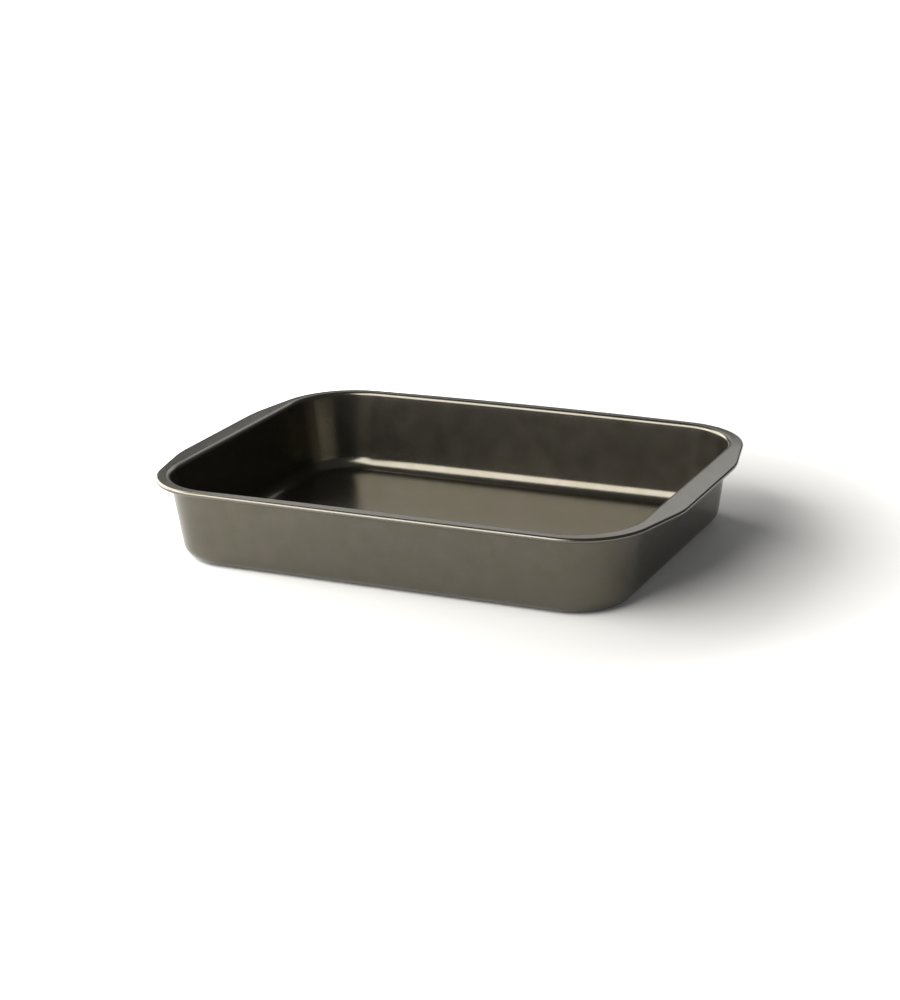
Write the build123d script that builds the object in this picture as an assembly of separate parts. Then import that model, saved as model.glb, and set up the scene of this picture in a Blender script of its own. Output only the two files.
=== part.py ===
from build123d import *
import math
import os

# Lasagna dish: a deep-drawn steel sheet whose rim widens into a grip at each end,
# with its outer edge curled round a steel wire.
# Millimetres. +X runs along the dish, +Z is up, and the origin is the middle of the underside.

# Sheet, height and slope
sheet = 0.6               # thickness of the steel sheet
dish_height = 59.0        # table to the top of the rim
wall_draft = 8.0          # degrees that the walls lean outwards, all round

# Mouth, on the inside, where the wall's slope would meet the top of the rim
mouth_length = 343.4
mouth_width = 257.4
mouth_corner = 46.8       # plan radius of the mouth's corners
mouth_bend = 3.0          # radius of the upper surface where the rim bends down into the wall
floor_bend = 10.0         # inside radius where the wall sweeps into the floor

# Rim, measured outwards from the mouth
rim_width = 6.7           # along the long sides, at the corners
rim_bow = 3.2             # how far the long edges bulge between their corners
grip_width = 18.3         # at the short ends, where the rim is a grip
grip_length = 107.4       # straight outer edge of a grip, before its ends are rounded
grip_shoulder_angle = 12.7  # lean of the shoulders that run from a grip back to the corners
grip_round = 67.0         # plan radius between a grip's edge and its shoulders

# Curled edge and the wire in it
wire_diameter = 1.8
wire_side_count = 6       # flats that stand for the round of the wire, out of sight in the curl
wire_clearance = 0.2      # above and below, between the wire and the inside of the curl
curl_spread = 0.15        # how much further the curl reaches sideways than up and down
curl_turn = 240           # degrees that the edge is rolled through
curl_side_count = 5       # flats that stand for the round of the curl on its hidden inside
wire_end_gap = 1.0        # between the two ends of the wire

# Worked out from the sizes above
curl_inner_rise = wire_diameter / 2 + wire_clearance
curl_inner_reach = curl_inner_rise + curl_spread
curl_rise = curl_inner_rise + sheet
curl_reach = curl_inner_reach + sheet
curl_height = dish_height - curl_rise
half_length = mouth_length / 2 + grip_width
half_width = mouth_width / 2 + rim_width
rim_corner = mouth_corner + rim_width
top_of_curl = 90          # the curl starts level with the top of the rim


def drawn_block(foot, grow):
    """Solid with leaning sides from the top of the rim down to foot, its lower edge rounded."""
    mouth = RectangleRounded(mouth_length + 2 * grow, mouth_width + 2 * grow, mouth_corner + grow)
    block = extrude(Plane.XY.offset(dish_height) * mouth, foot - dish_height, taper=wall_draft)
    lowest = block.faces().sort_by(Axis.Z)[0]
    return fillet(lowest.edges(), floor_bend + grow)


def rim_outline():
    """Outer edge of the rim in plan: bowed long sides, straight grips, slanting shoulders."""
    grip_end = grip_length / 2
    shoulder_run = (half_width - grip_end) * math.tan(math.radians(grip_shoulder_angle))
    corner_x = half_length - shoulder_run
    grip = Polyline(
        (corner_x, -half_width),
        (half_length, -grip_end),
        (half_length, grip_end),
        (corner_x, half_width),
    )
    long_side = ThreePointArc(
        (corner_x, half_width),
        (0, half_width + rim_bow),
        (-corner_x, half_width),
    )
    loop = grip.edges() + long_side.edges()
    loop += mirror(grip, about=Plane.YZ).edges() + mirror(long_side, about=Plane.XZ).edges()
    outline = make_face(loop)
    corners = outline.vertices().filter_by(lambda vertex: abs(vertex.Y) > grip_end + rim_width)
    outline = fillet(corners, rim_corner)
    grip_ends = outline.vertices().filter_by(lambda vertex: abs(vertex.Y) < grip_end + rim_width)
    return fillet(grip_ends, grip_round)


def flat_rim_outline():
    """Where the flat rim ends and the curl begins."""
    return offset(rim_outline(), -curl_reach)


def bead_path():
    """Level loop at the middle of the curl, which the curl and the wire both follow."""
    return (Plane.XY.offset(curl_height) * flat_rim_outline()).face().outer_wire()


def rolled_arc(reach, rise):
    """Oval arc from the top of the curl outwards, down and back in, as far as the edge is rolled."""
    return EllipticalCenterArc((0, 0), reach, rise, top_of_curl, arc_size=-curl_turn)


def curl_profile(path):
    """Cross-section of the curled edge, set square to the path at its start."""
    outer = rolled_arc(curl_reach, curl_rise)
    round_inside = rolled_arc(curl_inner_reach, curl_inner_rise)
    shares = [side / curl_side_count for side in range(curl_side_count + 1)]
    inner = Polyline([round_inside @ share for share in shares])
    lip = Line(outer @ 1, inner @ 1)
    root = Line(outer @ 0, inner @ 0)
    along = path % 0
    outwards = along.cross(Vector(0, 0, 1))
    across = Plane(origin=path @ 0, x_dir=outwards, z_dir=-along)
    return across * make_face([outer, lip, inner, root])


def make_pan_body():
    """Floor, walls, flat rim, grips and curled edge: one drawn sheet."""
    rim = extrude(Plane.XY.offset(dish_height) * flat_rim_outline(), -sheet)
    shell = drawn_block(0, sheet) + rim
    underside = shell.faces().filter_by(Axis.Z).filter_by(lambda face: len(face.inner_wires()) > 0)
    shell = fillet(underside.sort_by(Axis.Z)[0].inner_wires()[0].edges(), mouth_bend - sheet)
    shell -= drawn_block(sheet, 0)
    top = shell.faces().filter_by(Axis.Z).sort_by(Axis.Z)[-1]
    shell = fillet(top.inner_wires()[0].edges(), mouth_bend)
    path = bead_path()
    return shell + sweep(curl_profile(path), path=path)


def make_rim_wire():
    """Steel wire in the curl, bent to the rim's outline, with a butt gap behind the dish."""
    path = bead_path()
    across = Plane(origin=path @ 0, z_dir=path % 0)
    ring = sweep(across * RegularPolygon(wire_diameter / 2, wire_side_count), path=path)
    gap = Box(wire_end_gap, 2 * rim_width, 2 * wire_diameter)
    return ring - Pos(0, half_width + rim_bow, curl_height) * gap


os.makedirs("parts", exist_ok=True)
for name, make in {"pan_body": make_pan_body, "rim_wire": make_rim_wire}.items():
    solid = make()
    export_step(solid, f"parts/{name}.step")
    print(name, "volume", round(solid.volume), "cubic mm")
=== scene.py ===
# %% [markdown]
# # A lasagna dish of coated steel
#
# The real dish is one thin steel sheet, pressed into a deep tray with leaning walls. Its rim is
# flat, widens into a grip at each short end, and is rolled round a steel wire that keeps the edge
# from bending. A dark satin non-stick coating covers the sheet inside and out.
#
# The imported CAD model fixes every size. Here the same form is built again as a fine, smooth
# surface, because a satin coating shows each facet that it meets, and it then gets its finish.

# %% Load the CAD frame
import math

import bpy
import numpy as np
from mathutils import Matrix


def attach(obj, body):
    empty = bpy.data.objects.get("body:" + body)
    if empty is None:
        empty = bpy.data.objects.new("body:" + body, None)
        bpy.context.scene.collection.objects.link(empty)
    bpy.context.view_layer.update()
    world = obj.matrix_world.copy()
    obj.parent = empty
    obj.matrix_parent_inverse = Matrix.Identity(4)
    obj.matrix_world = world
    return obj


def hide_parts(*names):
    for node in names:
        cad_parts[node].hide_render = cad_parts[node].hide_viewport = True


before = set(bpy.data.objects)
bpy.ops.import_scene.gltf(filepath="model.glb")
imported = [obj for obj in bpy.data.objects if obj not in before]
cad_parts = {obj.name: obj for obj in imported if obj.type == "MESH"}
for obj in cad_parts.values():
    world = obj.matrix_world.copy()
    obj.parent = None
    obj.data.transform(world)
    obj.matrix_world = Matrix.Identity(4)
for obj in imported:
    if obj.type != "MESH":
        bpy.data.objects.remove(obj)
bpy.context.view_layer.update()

# %% [markdown]
# ## The camera
#
# A camera could be placed by eye, but a dish is all long edges, and a degree of error shows in
# each of them. So its direction, distance and lens come from a fit of the dish's outline to the
# picture. It stands back and looks down a little, over the front right corner.

# %% Stand the camera
MM = 0.001
camera_turn = math.radians(25.27)
camera_height_angle = math.radians(18.149)
camera_roll = math.radians(-1.59)
camera_distance = 1671.896 * MM
camera_aside = -2.675 * MM
camera_above = 24.655 * MM
lens_share = 2.37085
sensor_mm = 36.0


def camera_axes(turn, height_angle, roll):
    """The camera's own right, up and back directions.

    Turn is the angle of the camera round the upright axis from straight in front, height angle
    is how far it looks down, and roll turns the picture about the line of sight."""
    right = np.array([math.cos(turn), math.sin(turn), 0.0])
    level_back = np.array([math.sin(turn), -math.cos(turn), 0.0])
    back = math.cos(height_angle) * level_back + np.array([0.0, 0.0, math.sin(height_angle)])
    up = np.cross(back, right)
    rolled_right = math.cos(roll) * right + math.sin(roll) * up
    rolled_up = math.cos(roll) * up - math.sin(roll) * right
    return right, up, back, rolled_right, rolled_up


def stand(name, data, across, upward, backward, place):
    """An object for a camera or a lamp, from its own three directions and its place.

    Cameras and lamps look against their backward direction."""
    turned = np.identity(4)
    turned[:3] = np.column_stack([across, upward, backward, place])
    holder = bpy.data.objects.new(name, data)
    bpy.context.scene.collection.objects.link(holder)
    holder.matrix_world = Matrix(turned.tolist())
    return holder


right, up, back, rolled_right, rolled_up = camera_axes(camera_turn, camera_height_angle, camera_roll)
camera_place = camera_aside * right + camera_above * up + camera_distance * back
camera_data = bpy.data.cameras.new("studio_camera")
camera_data.sensor_width = sensor_mm
camera_data.lens = lens_share * sensor_mm
camera_data.clip_start = 0.05
camera_data.clip_end = 60.0
camera = stand("studio_camera", camera_data, rolled_right, rolled_up, back, camera_place)
bpy.context.scene.camera = camera
print("camera at", camera_place.round(3), "metres, lens", round(camera_data.lens, 1), "mm")

# %% [markdown]
# ## Stations round the walls
#
# All the walls lean by the same angle, so every level cut through them is the same rounded
# rectangle, moved in or out. A rounded rectangle could be drawn again at each level. It is less
# work to set out its stations once: each has a foot, on the rectangle that joins the four corner
# centres, and a direction straight out of the wall. Any level is then foot plus reach times
# direction.

# %% Set out the stations
mouth_length = 343.4 * MM
mouth_width = 257.4 * MM
mouth_corner = 46.8 * MM
short_count = 28
long_count = 42
corner_count = 30


def wall_stations(foot_x, foot_y):
    """Feet and outward directions, anticlockwise from the front end of the right side.

    Along a side the foot slides from one corner centre to the next and the direction stays.
    In a corner the foot stays and the direction turns through a quarter circle."""
    centres = np.array([[1, -1], [1, 1], [-1, 1], [-1, -1], [1, -1]]) * [foot_x, foot_y]
    counts = [short_count, long_count, short_count, long_count]
    feet = []
    angles = []
    for side, count in enumerate(counts):
        share = np.arange(count)[:, None] / count
        feet.append(centres[side] + share * (centres[side + 1] - centres[side]))
        feet.append(np.repeat(centres[side + 1][None], corner_count, axis=0))
        angles.append(np.full(count, side * math.pi / 2))
        angles.append((side + np.arange(corner_count) / corner_count) * math.pi / 2)
    angles = np.concatenate(angles)
    return np.concatenate(feet), np.column_stack([np.cos(angles), np.sin(angles)])


feet, outwards = wall_stations(mouth_length / 2 - mouth_corner, mouth_width / 2 - mouth_corner)
print("stations round the dish:", len(feet))

# %% [markdown]
# ## The edge of the rim
#
# Seen from above, the rim's edge is not a copy of the walls. Its long sides bow out by a few
# millimetres, its short sides are straight grips, and slanting shoulders lead from the grips
# back to the corners. A quarter of it is only three arcs, with straight lines between them where
# one arc's end leads into the next, and the other three quarters are mirror images.

# %% Draw the edge of the rim
rim_width = 6.7 * MM
rim_bow = 3.2 * MM
grip_width = 18.3 * MM
grip_end = 53.7 * MM
grip_round = 67 * MM
shoulder_angle = math.radians(12.7)
arc_steps = 48


def arc_of_edge(centre, radius, start, end):
    """Points centre plus radius times direction, with the direction turning from start to end."""
    angle = np.linspace(start, end, arc_steps)
    direction = np.column_stack([np.cos(angle), np.sin(angle)])
    return centre + radius * direction, direction


def rim_edge(inset):
    """The rim's edge moved in by inset: a closed loop of points with their outward normals.

    The bow is an arc through both corners and the middle of a long side. The corner arc touches
    the bow from inside and the shoulder's line, so its centre is rim_corner inside both."""
    half_length = mouth_length / 2 + grip_width
    half_width = mouth_width / 2 + rim_width
    rim_corner = mouth_corner + rim_width
    corner_x = half_length - (half_width - grip_end) * math.tan(shoulder_angle)
    bow_radius = (corner_x**2 + rim_bow**2) / (2 * rim_bow)
    bow_centre = np.array([0.0, half_width + rim_bow - bow_radius])
    grip_centre = np.array([half_length - grip_round, grip_end - grip_round * math.tan(shoulder_angle / 2)])
    lean = np.array([math.cos(shoulder_angle), math.sin(shoulder_angle)])
    across = np.array([-lean[1], lean[0]])
    depth = lean @ (np.array([half_length, grip_end]) - bow_centre) - rim_corner
    climb = math.sqrt((bow_radius - rim_corner) ** 2 - depth**2)
    corner_centre = bow_centre + depth * lean + climb * across
    bow_start = math.atan2(*(corner_centre - bow_centre)[::-1])
    arcs = [
        arc_of_edge(grip_centre, grip_round - inset, 0.0, shoulder_angle),
        arc_of_edge(corner_centre, rim_corner - inset, shoulder_angle, bow_start),
        arc_of_edge(bow_centre, bow_radius - inset, bow_start, math.pi / 2),
    ]
    loops = []
    for quarter in (np.concatenate(part) for part in zip(*arcs)):
        half = np.concatenate([quarter, quarter[::-1] * [-1, 1]])
        loops.append(np.concatenate([half, -half]))
    return loops


outer_edge = rim_edge(0.0)[0]
print("edge of the rim:", len(outer_edge), "points, reaching", outer_edge.max(axis=0).round(4), "metres")

# %% [markdown]
# ## From the walls to the edge
#
# The edge and the walls have no stations in common. The edge could get points at equal steps, but
# then the rim's faces would twist between the two. So each station's own line is followed outwards
# to where it crosses the edge, less the width of the curl, and the flat of the rim ends there.

# %% Carry the stations to the edge
sheet = 0.6 * MM
curl_rise = 1.7 * MM
curl_reach = 1.85 * MM


def meet_edge(loop, loop_normals):
    """Where each station's line crosses the loop, and the loop's normal there.

    The cross product of a station's direction with the step to a point is negative on one side
    of its line and positive on the other. The line crosses the chord where that sign changes,
    at the share of the chord where the product is zero."""
    step = loop[None] - feet[:, None]
    side = outwards[:, None, 0] * step[..., 1] - outwards[:, None, 1] * step[..., 0]
    ahead = (outwards[:, None] * step).sum(axis=2) > 0
    following = np.roll(side, -1, axis=1)
    first = ((side <= 0) & (following > 0) & ahead).argmax(axis=1)
    second = (first + 1) % len(loop)
    rows = np.arange(len(feet))
    share = (side[rows, first] / (side[rows, first] - following[rows, first]))[:, None]
    place = loop[first] + share * (loop[second] - loop[first])
    normal = loop_normals[first] + share * (loop_normals[second] - loop_normals[first])
    return place, normal / np.linalg.norm(normal, axis=1, keepdims=True)


curl_line, curl_outwards = meet_edge(*rim_edge(curl_reach))
rim_flat = np.linalg.norm(curl_line - feet, axis=1).min() - mouth_corner
print("flat rim is", rim_flat.round(4), "m wide at least")

# %% [markdown]
# ## The pressed sheet
#
# The sheet could be a wall extruded from a rounded rectangle, with bevels at its bends. Instead its
# upper face is worked out as one profile, carried round the stations: floor, sweep into the wall,
# leaning wall, bend at the mouth, flat rim, curl. So the bends are true arcs everywhere, and the
# rows lie close together where the sheet is bent.

# %% Press the floor, the walls and the mouth
dish_height = 59 * MM
wall_lean = math.radians(8.0)
floor_bend = 10 * MM
mouth_bend = 3 * MM
rim_fall = math.radians(4.5)
wall_normal = math.pi - wall_lean
floor_crowding = 0.8
floor_count = 16
sweep_count = 14
wall_count = 12
mouth_count = 14


def wall_rows(reach, height):
    """Rows of the profile that follow the walls' own plan.

    The place is foot plus (corner radius plus reach) times direction, at the row's height."""
    plan = feet + (mouth_corner + reach)[:, None, None] * outwards
    level = np.broadcast_to(height[:, None, None], plan.shape[:2] + (1,))
    return np.concatenate([plan, level], axis=2)


def floor_rows(count):
    """The flat floor, from just outside its middle to the sweep: share times the floor's edge.

    The shares are crowded towards the edge by a power below one."""
    share = np.linspace(0, 1, count + 1)[1:, None, None] ** floor_crowding
    edge_reach = -(dish_height - sheet - floor_bend) * math.tan(wall_lean) - floor_bend / math.cos(wall_lean)
    plan = share * (feet + (mouth_corner + edge_reach) * outwards)
    level = np.full(plan.shape[:2] + (1,), sheet)
    return np.concatenate([plan, level], axis=2)


def sweep_rows(count):
    """The sweep from floor to wall: a hollow arc, its centre inside the dish.

    Reach and height are the centre's, less the radius times cosine and sine of the angle."""
    angle = np.linspace(math.pi / 2, wall_normal, count + 1)[1:]
    centre_height = sheet + floor_bend
    centre_reach = -(dish_height - centre_height) * math.tan(wall_lean) - floor_bend / math.cos(wall_lean)
    reach = centre_reach - floor_bend * np.cos(angle)
    height = centre_height - floor_bend * np.sin(angle)
    return wall_rows(reach, height)


def mouth_rows(count):
    """The bend from wall to rim: an arc with its centre under the rim, ending at the rim's fall.

    Reach and height are the centre's, plus the radius times cosine and sine of the angle."""
    angle = np.linspace(wall_normal, math.pi / 2 - rim_fall, count)
    centre_reach = mouth_bend * math.tan((math.pi / 2 - wall_lean) / 2)
    centre_height = dish_height - mouth_bend
    reach = centre_reach + mouth_bend * np.cos(angle)
    height = centre_height + mouth_bend * np.sin(angle)
    return wall_rows(reach, height)


def between_rows(lower, upper, count):
    """Straight rows between two others: lower plus share times (upper minus lower)."""
    share = np.linspace(0, 1, count + 2)[1:-1, None, None]
    return lower[None] + share * (upper - lower)[None]


floor = floor_rows(floor_count)
sweep = sweep_rows(sweep_count)
mouth = mouth_rows(mouth_count)
wall = between_rows(sweep[-1], mouth[0], wall_count)
print("rows of the floor, sweep, wall and mouth:", [len(part) for part in (floor, sweep, wall, mouth)])

# %% [markdown]
# ## The rolled edge
#
# Past the mouth the sheet leaves the walls' own plan and runs out to the rim's edge, where it is
# rolled outwards and under. A separate round tube could stand for the bead, but it would show a
# seam. So the curl belongs to the same sheet: an oval arc at every station, which straight rows
# join to the mouth.

# %% Roll the edge
curl_turn = math.radians(240)
rim_count = 5
curl_count = 26


def curl_rows(rim_start, count):
    """The rolled edge: an oval arc that starts level with the rim and turns outwards and under.

    The place is centre plus reach times sine of the turn outwards, plus rise times cosine of
    the turn upwards, and the rim's fall tips both directions."""
    run = np.linalg.norm(curl_line - rim_start[:, :2], axis=1)
    start = np.column_stack([curl_line, rim_start[:, 2] - run * math.tan(rim_fall)])
    flat = np.column_stack([curl_outwards, np.zeros(len(curl_line))])
    upright = np.array([0.0, 0.0, 1.0])
    out = math.cos(rim_fall) * flat - math.sin(rim_fall) * upright
    rise = math.sin(rim_fall) * flat + math.cos(rim_fall) * upright
    turn = np.linspace(0, curl_turn, count)[:, None, None]
    return start + curl_reach * np.sin(turn) * out + curl_rise * (np.cos(turn) - 1) * rise


curl = curl_rows(mouth[-1], curl_count)
rim = between_rows(mouth[-1], curl[0], rim_count)
flat_upper = np.concatenate([floor, sweep, wall, mouth, rim, curl])
print("upper face:", flat_upper.shape[0], "rows of", flat_upper.shape[1], "stations")

# %% [markdown]
# ## The rim is not quite level
#
# A sheet that has been pressed and rolled keeps some spring. On the real dish the ends of the rim
# hang about a millimetre lower than the middle of its long sides, and a glossy edge shows it. A
# lattice could bend the mesh. Here the heights change by a formula before the lower face is made,
# and the normals are then measured on the bent surface.

# %% Let the ends of the rim down
crown_height = 1.0 * MM
crown_reach = 165 * MM
crown_lead = 1.1
crown_order = 4


def lower_ends(places):
    """Places with less height: the crown's height times how far out and how far up a point is.

    Far out is the squared share of the crown's reach, times the lead, and it levels off past the
    reach, more sharply with a higher order. Far up is the squared share of the dish's height."""
    along = (places[..., 0] / crown_reach) ** 2
    out = crown_lead * along / (1 + along**crown_order) ** (1 / crown_order)
    up = (places[..., 2] / dish_height) ** 2
    lowered = places.copy()
    lowered[..., 2] -= crown_height * out * up
    return lowered


def surface_normals(places):
    """Unit normals of a grid of points: the cross product of its two central differences."""
    around = np.roll(places, -1, axis=1) - np.roll(places, 1, axis=1)
    outward = np.gradient(places, axis=0)
    normals = np.cross(outward, around)
    return normals / np.linalg.norm(normals, axis=2, keepdims=True)


upper = lower_ends(flat_upper)
upper_normals = surface_normals(upper)
drop = flat_upper[..., 2] - upper[..., 2]
print("rim lowered by up to", round(drop.max() * 1000, 2), "mm")

# %% [markdown]
# ## One closed mesh
#
# Solidify could give the sheet its thickness, but it leaves the cut edge square. So the lower face
# is the upper one moved back along its normals, with a half round between the two. Both faces end
# in a pole at the middle of the floor, which closes the mesh.

# %% Close the sheet and put it in a mesh
lip_steps = 4


def lip_rows(last, last_normal, before):
    """The half round of the cut edge, from the upper face to the lower one.

    The place is the middle of the sheet plus half its thickness times a direction, which turns
    from the upper face's normal through straight ahead to the lower face's normal."""
    along = last - before
    along /= np.linalg.norm(along, axis=1, keepdims=True)
    turn = np.linspace(0, math.pi, lip_steps + 2)[1:-1, None, None]
    middle = last - sheet / 2 * last_normal
    return middle + sheet / 2 * (np.cos(turn) * last_normal + np.sin(turn) * along)


def surface_mesh(name, rows):
    """A mesh from rows of points that each close on themselves, with a pole at both ends.

    Face k of a row joins points k and k + 1 of that row and of the next, and the last point
    joins the first. Each pole is the middle of the row beside it."""
    count, across = rows.shape[:2]
    poles = [rows[0].mean(axis=0), rows[-1].mean(axis=0)]
    points = np.concatenate([rows.reshape(-1, 3), poles])
    here = np.arange(across)
    there = np.roll(here, -1)
    base = (np.arange(count - 1) * across)[:, None]
    quads = np.stack([base + here, base + across + here, base + across + there, base + there], axis=2)
    low, high = len(points) - 2, len(points) - 1
    first = np.column_stack([np.full(across, low), here, there])
    final = (count - 1) * across
    last = np.column_stack([final + here, np.full(across, high), final + there])
    faces = quads.reshape(-1, 4).tolist() + first.tolist() + last.tolist()
    mesh = bpy.data.meshes.new(name)
    mesh.from_pydata(points.tolist(), [], faces)
    mesh.update()
    mesh.shade_smooth()
    piece = bpy.data.objects.new(name, mesh)
    bpy.context.scene.collection.objects.link(piece)
    print(name, "has", len(points), "points, box", points.min(axis=0).round(4), points.max(axis=0).round(4))
    return piece


lip = lip_rows(upper[-1], upper_normals[-1], upper[-2])
lower = (upper - sheet * upper_normals)[::-1]
sheet_rows = np.concatenate([upper, lip, lower])
dish = surface_mesh("coated_sheet", sheet_rows)
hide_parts("pan_body")
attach(dish, "root")

# %% [markdown]
# ## The wire in the curl
#
# The wire hardly shows, but the curl would be hollow without it. It could be a curve with a
# round bevel. Here a ring of points is carried along the curl's own middle line, which leaves
# the same small gap to the curl all the way, and it stops short of its start behind the dish,
# where the two ends of the real wire meet.

# %% Bend the wire
wire_radius = 0.9 * MM
wire_end_gap = 1 * MM
wire_sides = 16


def wire_rows():
    """Rings along the curl's middle: centre plus radius times a turning direction.

    The direction turns in the upright plane that holds the edge's outward normal."""
    rear = short_count + corner_count + long_count // 2
    order = np.append(np.roll(np.arange(len(curl_line)), -rear), rear)
    start = lower_ends(curl[:1])[0]
    middle = np.column_stack([curl_line, start[:, 2] - curl_rise])[order]
    middle[0, 0] -= wire_end_gap / 2
    middle[-1, 0] += wire_end_gap / 2
    out = np.column_stack([curl_outwards, np.zeros(len(curl_line))])[order]
    turn = np.linspace(0, 2 * math.pi, wire_sides, endpoint=False)[None, :, None]
    upright = np.array([0.0, 0.0, 1.0])
    return middle[:, None] + wire_radius * (np.cos(turn) * out[:, None] - np.sin(turn) * upright)


wire = surface_mesh("stiffening_wire", wire_rows())
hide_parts("rim_wire")
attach(wire, "root")

# %% [markdown]
# ## Where the coating is rubbed
#
# Oven gloves, racks and sponges rub a dish where it stands proud: on the rolled edge, and a little
# on the bend of the mouth. A worn mask could be painted by hand. Here each row of the surface is
# given its share of wear as it is made, and the share is kept in the mesh as a point attribute, so
# it follows the shape exactly.

# %% Mark the rubbed rows
mouth_wear = 0.45
rim_wear_inside = 0.1
rim_wear_outside = 0.2
curl_wear_start = 0.2
lip_wear = 0.3
much_wear = 0.5


def wear_of_rows():
    """Share of wear, row by row of the sheet: full on the curl's crest, some on the mouth's bend.

    Over both it rises and falls as a half wave of the sine."""
    parts = [np.zeros(len(part)) for part in (floor, sweep, wall)]
    parts.append(mouth_wear * np.sin(np.linspace(0, math.pi, len(mouth))))
    parts.append(np.linspace(rim_wear_inside, rim_wear_outside, len(rim)))
    parts.append(np.clip(np.sin(np.linspace(curl_wear_start, math.pi, len(curl))), 0, 1))
    face = np.concatenate(parts)
    return np.concatenate([face, np.full(lip_steps, lip_wear), np.zeros(len(face))])


wear = np.repeat(wear_of_rows(), len(feet))
rubbed = dish.data.attributes.new("rubbed", "FLOAT", "POINT")
pole_wear = [0.0, 0.0]
rubbed.data.foreach_set("value", np.append(wear, pole_wear))
print("rubbed points:", int((wear > much_wear).sum()))

# %% [markdown]
# ## Effects that the finishes share
#
# The coating and the wire both need fine grain, and both have soft clouds of colour, from heat on
# the one and from drawing oil on the other. Each effect could be built again in both materials. A
# node group holds it once, with named sockets, and each material places it with its own values.

# %% Start a node group
MIX_FIRST = 6  # places of a Mix node's colour sockets among its inputs
MIX_SECOND = 7
MIX_RESULT = 2  # and among its outputs


def effect_group(name, inputs, outputs):
    """An empty shader group with its named sockets, and its first and last nodes."""
    group = bpy.data.node_groups.new(name, "ShaderNodeTree")
    for socket_name, kind, value in inputs:
        socket = group.interface.new_socket(socket_name, in_out="INPUT", socket_type=kind)
        if value is not None:
            socket.default_value = value
    for socket_name, kind in outputs:
        group.interface.new_socket(socket_name, in_out="OUTPUT", socket_type=kind)
    return group, group.nodes.new("NodeGroupInput"), group.nodes.new("NodeGroupOutput")


def feed(group, socket, source):
    """Link the source to the socket, or set the socket's own value if the source isn't a socket."""
    if isinstance(source, bpy.types.NodeSocket):
        group.links.new(source, socket)
    else:
        socket.default_value = source


def multiply_add(group, value, factor, addend):
    """A node that gives value times factor plus addend, each a socket or a number."""
    node = group.nodes.new("ShaderNodeMath")
    node.operation = "MULTIPLY_ADD"
    for socket, source in zip(node.inputs, (value, factor, addend)):
        feed(group, socket, source)
    return node.outputs[0]


def mix_colours(group, share, first, second):
    """A node that leads from the first colour to the second as the share grows from 0 to 1."""
    node = group.nodes.new("ShaderNodeMix")
    node.data_type = "RGBA"
    feed(group, node.inputs["Factor"], share)
    feed(group, node.inputs[MIX_FIRST], first)
    feed(group, node.inputs[MIX_SECOND], second)
    return node.outputs[MIX_RESULT]


# %% [markdown]
# ## Clouds
#
# Clouds could come from one noise, but then both tints would lie on the same patches. Two noises of
# different size, read at different places, keep them apart. Each turns into a soft mask, which
# leans the colour to its tint, and the smaller one also makes it a little lighter or darker.

# %% Build the clouds
COLOUR = "NodeSocketColor"
FLOAT = "NodeSocketFloat"
VECTOR = "NodeSocketVector"
patch_from = 0.42
patch_to = 0.62
small_patch_factor = 2.3
small_patch_place = (0.37, 0.11, 0.23)


def noise_in(group, vector, scale, detail, roughness):
    """A noise texture in a group, read at the vector; scale is a socket or a number."""
    noise = group.nodes.new("ShaderNodeTexNoise")
    noise.inputs["Detail"].default_value = detail
    noise.inputs["Roughness"].default_value = roughness
    group.links.new(vector, noise.inputs["Vector"])
    feed(group, noise.inputs["Scale"], scale)
    return noise.outputs["Fac"]


def build_clouds():
    """Large soft patches lean the colour to one tint and small ones to another.

    The small noise also shades the colour, by the factor 1 plus shade times noise minus a half."""
    group, start, end = effect_group(
        "soft_clouds",
        [
            ("Vector", VECTOR, None),
            ("Patches per Metre", FLOAT, 40.0),
            ("Colour", COLOUR, None),
            ("First Tint", COLOUR, None),
            ("Second Tint", COLOUR, None),
            ("Shade", FLOAT, 0.15),
        ],
        [("Colour", COLOUR)],
    )
    take = start.outputs
    large = noise_in(group, take["Vector"], take["Patches per Metre"], detail=3.0, roughness=0.5)
    shift = group.nodes.new("ShaderNodeVectorMath")
    shift.inputs[1].default_value = small_patch_place
    group.links.new(take["Vector"], shift.inputs[0])
    finer = multiply_add(group, take["Patches per Metre"], small_patch_factor, 0.0)
    small = noise_in(group, shift.outputs[0], finer, detail=4.0, roughness=0.6)
    colour = take["Colour"]
    for patch, tint in ((large, "First Tint"), (small, "Second Tint")):
        mask = group.nodes.new("ShaderNodeMapRange")
        mask.interpolation_type = "SMOOTHSTEP"
        mask.inputs["From Min"].default_value = patch_from
        mask.inputs["From Max"].default_value = patch_to
        group.links.new(patch, mask.inputs["Value"])
        colour = mix_colours(group, mask.outputs["Result"], colour, take[tint])
    level = multiply_add(group, small, take["Shade"], 1.0)
    shading = multiply_add(group, take["Shade"], -0.5, level)
    shaded = group.nodes.new("ShaderNodeVectorMath")
    shaded.operation = "SCALE"
    group.links.new(colour, shaded.inputs[0])
    group.links.new(shading, shaded.inputs["Scale"])
    group.links.new(shaded.outputs[0], end.inputs["Colour"])
    return group


clouds_group = build_clouds()
print("clouds have", len(clouds_group.nodes), "nodes")


# %% [markdown]
# ## Grain
#
# A sprayed film is never quite even: it has specks too small to see one by one, and its gloss
# changes slowly from place to place. The specks are a height for a bump, which costs no points, and
# the slow change is a roughness between a least value and a spread above it.

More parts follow.
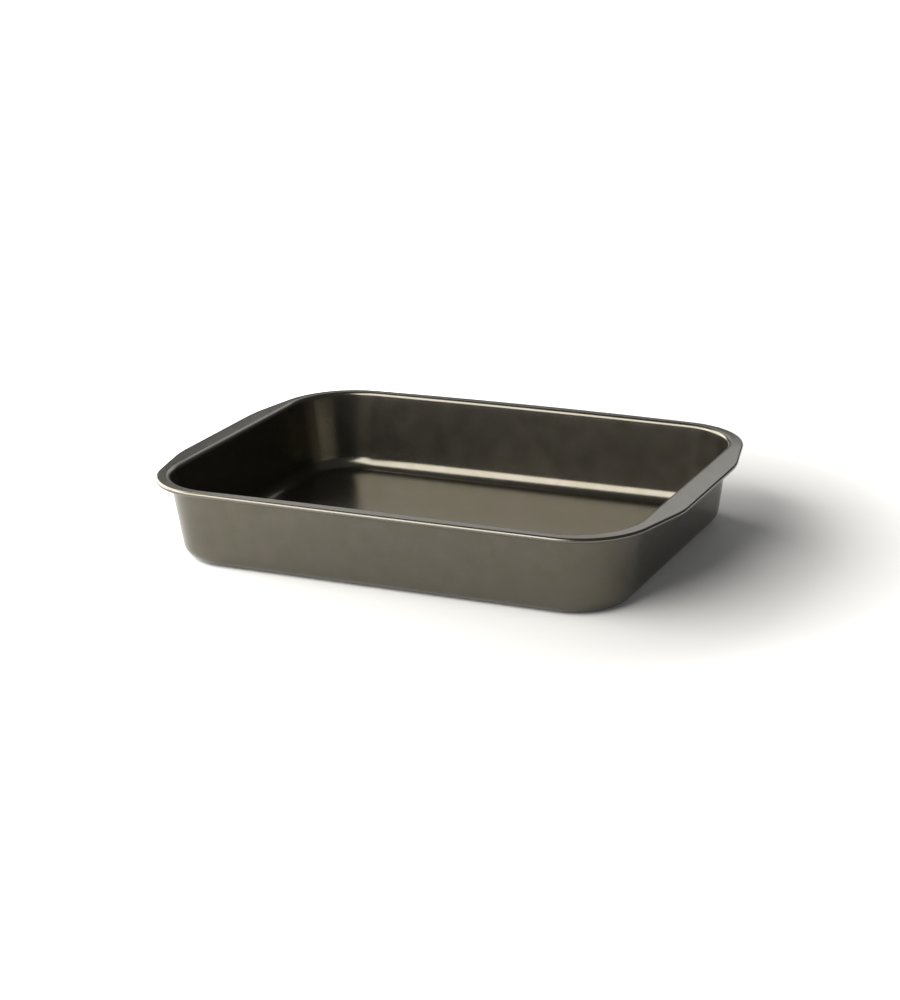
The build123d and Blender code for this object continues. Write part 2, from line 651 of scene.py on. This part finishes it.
# %% Build the grain
def build_grain():
    """Fine specks for the bump's height, on clouds that let the gloss vary between two values."""
    group, start, end = effect_group(
        "fine_grain",
        [
            ("Vector", VECTOR, None),
            ("Specks per Metre", FLOAT, 1500.0),
            ("Dull Patches per Metre", FLOAT, 60.0),
            ("Least Roughness", FLOAT, 0.2),
            ("Spread of Roughness", FLOAT, 0.05),
        ],
        [("Height", FLOAT), ("Roughness", FLOAT)],
    )
    take = start.outputs
    vector = take["Vector"]
    specks = noise_in(group, vector, take["Specks per Metre"], detail=2.0, roughness=0.6)
    patches = noise_in(group, vector, take["Dull Patches per Metre"], detail=3.0, roughness=0.5)
    rough = multiply_add(group, patches, take["Spread of Roughness"], take["Least Roughness"])
    group.links.new(specks, end.inputs["Height"])
    group.links.new(rough, end.inputs["Roughness"])
    return group


grain_group = build_grain()
print("grain has", len(grain_group.nodes), "nodes")


# %% [markdown]
# ## Groups in a material
#
# The shader stays in each material, where its own values are easy to find, and the groups only feed
# it colours, roughness and height. All patterns read the piece's Object coordinates in metres, so
# they keep their size and don't slide when the dish is moved.

# %% Place a group in a material
def new_material(name):
    """A material with its shader, its node tree and the Object coordinates of the piece."""
    material = bpy.data.materials.new(name)
    material.use_nodes = True
    tree = material.node_tree
    place = tree.nodes.new("ShaderNodeTexCoord").outputs["Object"]
    return material, tree, tree.nodes["Principled BSDF"], place


def place_group(tree, group, vector, values):
    """The group as one node of the material, read at the vector, with its inputs set by name."""
    node = tree.nodes.new("ShaderNodeGroup")
    node.node_tree = group
    tree.links.new(vector, node.inputs["Vector"])
    for name, value in values.items():
        node.inputs[name].default_value = value
    return node


def bump_from(tree, height, strength, distance):
    """A bump node that turns the height into a normal."""
    bump = tree.nodes.new("ShaderNodeBump")
    bump.inputs["Strength"].default_value = strength
    bump.inputs["Distance"].default_value = distance
    tree.links.new(height, bump.inputs["Height"])
    return bump.outputs["Normal"]


# %% [markdown]
# ## The coating
#
# A dark non-stick coating is a thin film full of fine metal flakes. It has almost no colour of its
# own in shadow and mirrors the room softly, so it is set as a metal of low reflectance rather than
# as black paint with a clear coat. Olive and violet brown clouds from the oven lie over the warm
# grey, and the rubbed edge is a little paler and smoother.

# %% Material of the coating
rub_paleness = 0.35
rub_polish = 0.03
rubbed_colour = (0.19, 0.18, 0.165, 1.0)
coating, tree, shader, place = new_material("satin_nonstick_coating")
shader.inputs["Metallic"].default_value = 0.95
clouds = place_group(tree, clouds_group, place, {
    "Patches per Metre": 34.0,
    "Colour": (0.117, 0.109, 0.087, 1.0),
    "First Tint": (0.115, 0.109, 0.084, 1.0),
    "Second Tint": (0.120, 0.109, 0.091, 1.0),
    "Shade": 0.22,
})
grain = place_group(tree, grain_group, place, {
    "Specks per Metre": 1400.0,
    "Dull Patches per Metre": 70.0,
    "Least Roughness": 0.195,
    "Spread of Roughness": 0.08,
})
rub = tree.nodes.new("ShaderNodeAttribute")
rub.attribute_name = "rubbed"
rub_share = multiply_add(tree, rub.outputs["Fac"], rub_paleness, 0.0)
paler = mix_colours(tree, rub_share, clouds.outputs["Colour"], rubbed_colour)
tree.links.new(paler, shader.inputs["Base Color"])
gloss = multiply_add(tree, rub.outputs["Fac"], -rub_polish, grain.outputs["Roughness"])
tree.links.new(gloss, shader.inputs["Roughness"])
grain_bump = bump_from(tree, grain.outputs["Height"], strength=0.25, distance=0.05 * MM)
tree.links.new(grain_bump, shader.inputs["Normal"])
dish.data.materials.append(coating)
print(coating.name, "has", len(tree.nodes), "nodes")

# %% [markdown]
# ## The wire
#
# Drawn steel wire is a paler metal with fine grain and a thin film of brown oil. A plain grey would
# do for a piece that is nearly out of sight, but the same two groups give the grain and the film for
# a few lines, so it gets them, with its own values.

# %% Material of the wire
wire_metal, tree, shader, place = new_material("drawn_wire")
shader.inputs["Metallic"].default_value = 1.0
oil = place_group(tree, clouds_group, place, {
    "Patches per Metre": 90.0,
    "Colour": (0.55, 0.54, 0.52, 1.0),
    "First Tint": (0.50, 0.48, 0.45, 1.0),
    "Second Tint": (0.42, 0.38, 0.33, 1.0),
    "Shade": 0.2,
})
wire_grain = place_group(tree, grain_group, place, {
    "Specks per Metre": 4000.0,
    "Dull Patches per Metre": 200.0,
    "Least Roughness": 0.25,
    "Spread of Roughness": 0.15,
})
tree.links.new(oil.outputs["Colour"], shader.inputs["Base Color"])
tree.links.new(wire_grain.outputs["Roughness"], shader.inputs["Roughness"])
wire_bump = bump_from(tree, wire_grain.outputs["Height"], strength=0.3, distance=0.02 * MM)
tree.links.new(wire_bump, shader.inputs["Normal"])
wire.data.materials.append(wire_metal)
print(wire_metal.name, "has", len(tree.nodes), "nodes")

# %% [markdown]
# ## The table
#
# Paper lies under the dish and runs back out of sight, lit white by the lamps. Lamps strong enough
# to whiten it everywhere would bleach the dish, so further out a plain white glow takes over, as
# on a lit backdrop. It shows to the camera, to mirror reflections and through glass, and adds no
# light to the dish. Close to the dish there is almost none, so the shadow stays.

# %% Lay the paper
table_size = 30.0
table_drop = 0.4 * MM
glow_near = 0.04
glow_start = 0.23
glow_full = 0.52
corners = np.array([[-1, -1], [1, -1], [1, 1], [-1, 1]]) * table_size / 2
table_mesh = bpy.data.meshes.new("table_top")
table_mesh.from_pydata([[x, y, -table_drop] for x, y in corners], [], [[0, 1, 2, 3]])
table_top = bpy.data.objects.new("table_top", table_mesh)
bpy.context.scene.collection.objects.link(table_top)
paper, tree, shader, place = new_material("white_paper")
shader.inputs["Base Color"].default_value = (0.69, 0.69, 0.68, 1.0)
shader.inputs["Roughness"].default_value = 1.0
shader.inputs["Specular IOR Level"].default_value = 0.0
shader.inputs["Emission Color"].default_value = (1.0, 1.0, 1.0, 1.0)
away = tree.nodes.new("ShaderNodeVectorMath")
away.operation = "LENGTH"
tree.links.new(place, away.inputs[0])
glow = tree.nodes.new("ShaderNodeMapRange")
glow.interpolation_type = "SMOOTHSTEP"
glow.inputs["From Min"].default_value = glow_start
glow.inputs["From Max"].default_value = glow_full
glow.inputs["To Min"].default_value = glow_near
glow.inputs["To Max"].default_value = 1.0
tree.links.new(away.outputs["Value"], glow.inputs["Value"])
seen = tree.nodes.new("ShaderNodeLightPath")
shows = seen.outputs["Is Camera Ray"]
for kind in ("Is Glossy Ray", "Is Transmission Ray"):
    either = tree.nodes.new("ShaderNodeMath")
    either.operation = "MAXIMUM"
    tree.links.new(shows, either.inputs[0])
    tree.links.new(seen.outputs[kind], either.inputs[1])
    shows = either.outputs[0]
glow_shown = multiply_add(tree, glow.outputs["Result"], shows, 0.0)
tree.links.new(glow_shown, shader.inputs["Emission Strength"])
table_top.data.materials.append(paper)
print("paper glows from", glow_start, "metres out, fully at", glow_full, "metres")

# %% [markdown]
# ## The lamps
#
# The bright line along the foot of the back wall and the dark wall above it say where the light
# is: a broad soft lamp at the front left, a lower one at the left, nothing overhead. A pale card
# behind the dish shows in the flat of the rim, and it is a weak lamp here. The two strong lamps
# are near, so the paper and what the front wall mirrors of it grow darker to the right.

# %% Hang the lamps
warm_white = (1.0, 0.98, 0.95)
plain_white = (1.0, 1.0, 1.0)


def softbox(name, turn, height_angle, distance, width, depth, radiance, colour):
    """A rectangular lamp that faces the dish, as far round and as high as the two angles say.

    Turn is measured like the camera's, from straight in front. A lamp's power is its radiance
    times pi times its area."""
    level = np.array([math.sin(turn), -math.cos(turn), 0.0])
    toward = math.cos(height_angle) * level + np.array([0.0, 0.0, math.sin(height_angle)])
    across = np.cross([0.0, 0.0, 1.0], level)
    lamp = bpy.data.lights.new(name, "AREA")
    lamp.shape = "RECTANGLE"
    lamp.size, lamp.size_y = width, depth
    lamp.energy = radiance * math.pi * width * depth
    lamp.color = colour
    place = toward * distance
    stand(name, lamp, across, np.cross(toward, across), toward, place)
    print(name, "at", place.round(2), "metres, power", round(lamp.energy, 1))


softbox(
    "key_softbox", turn=math.radians(-38), height_angle=math.radians(37.5), distance=1.5,
    width=2.0, depth=1.28, radiance=6.4, colour=warm_white,
)
softbox(
    "side_softbox", turn=math.radians(-102), height_angle=math.radians(25), distance=1.5,
    width=1.5, depth=1.1, radiance=6.5, colour=warm_white,
)
softbox(
    "rear_card", turn=math.radians(-165), height_angle=math.radians(27), distance=3.0,
    width=2.2, depth=1.0, radiance=1.25, colour=plain_white,
)
room_light = 0.13
world = bpy.data.worlds.new("studio_room")
bpy.context.scene.world = world
world.use_nodes = True
background = world.node_tree.nodes["Background"]
background.inputs["Color"].default_value = (1.0, 1.0, 1.0, 1.0)
background.inputs["Strength"].default_value = room_light
bpy.context.scene.view_settings.view_transform = "Standard"
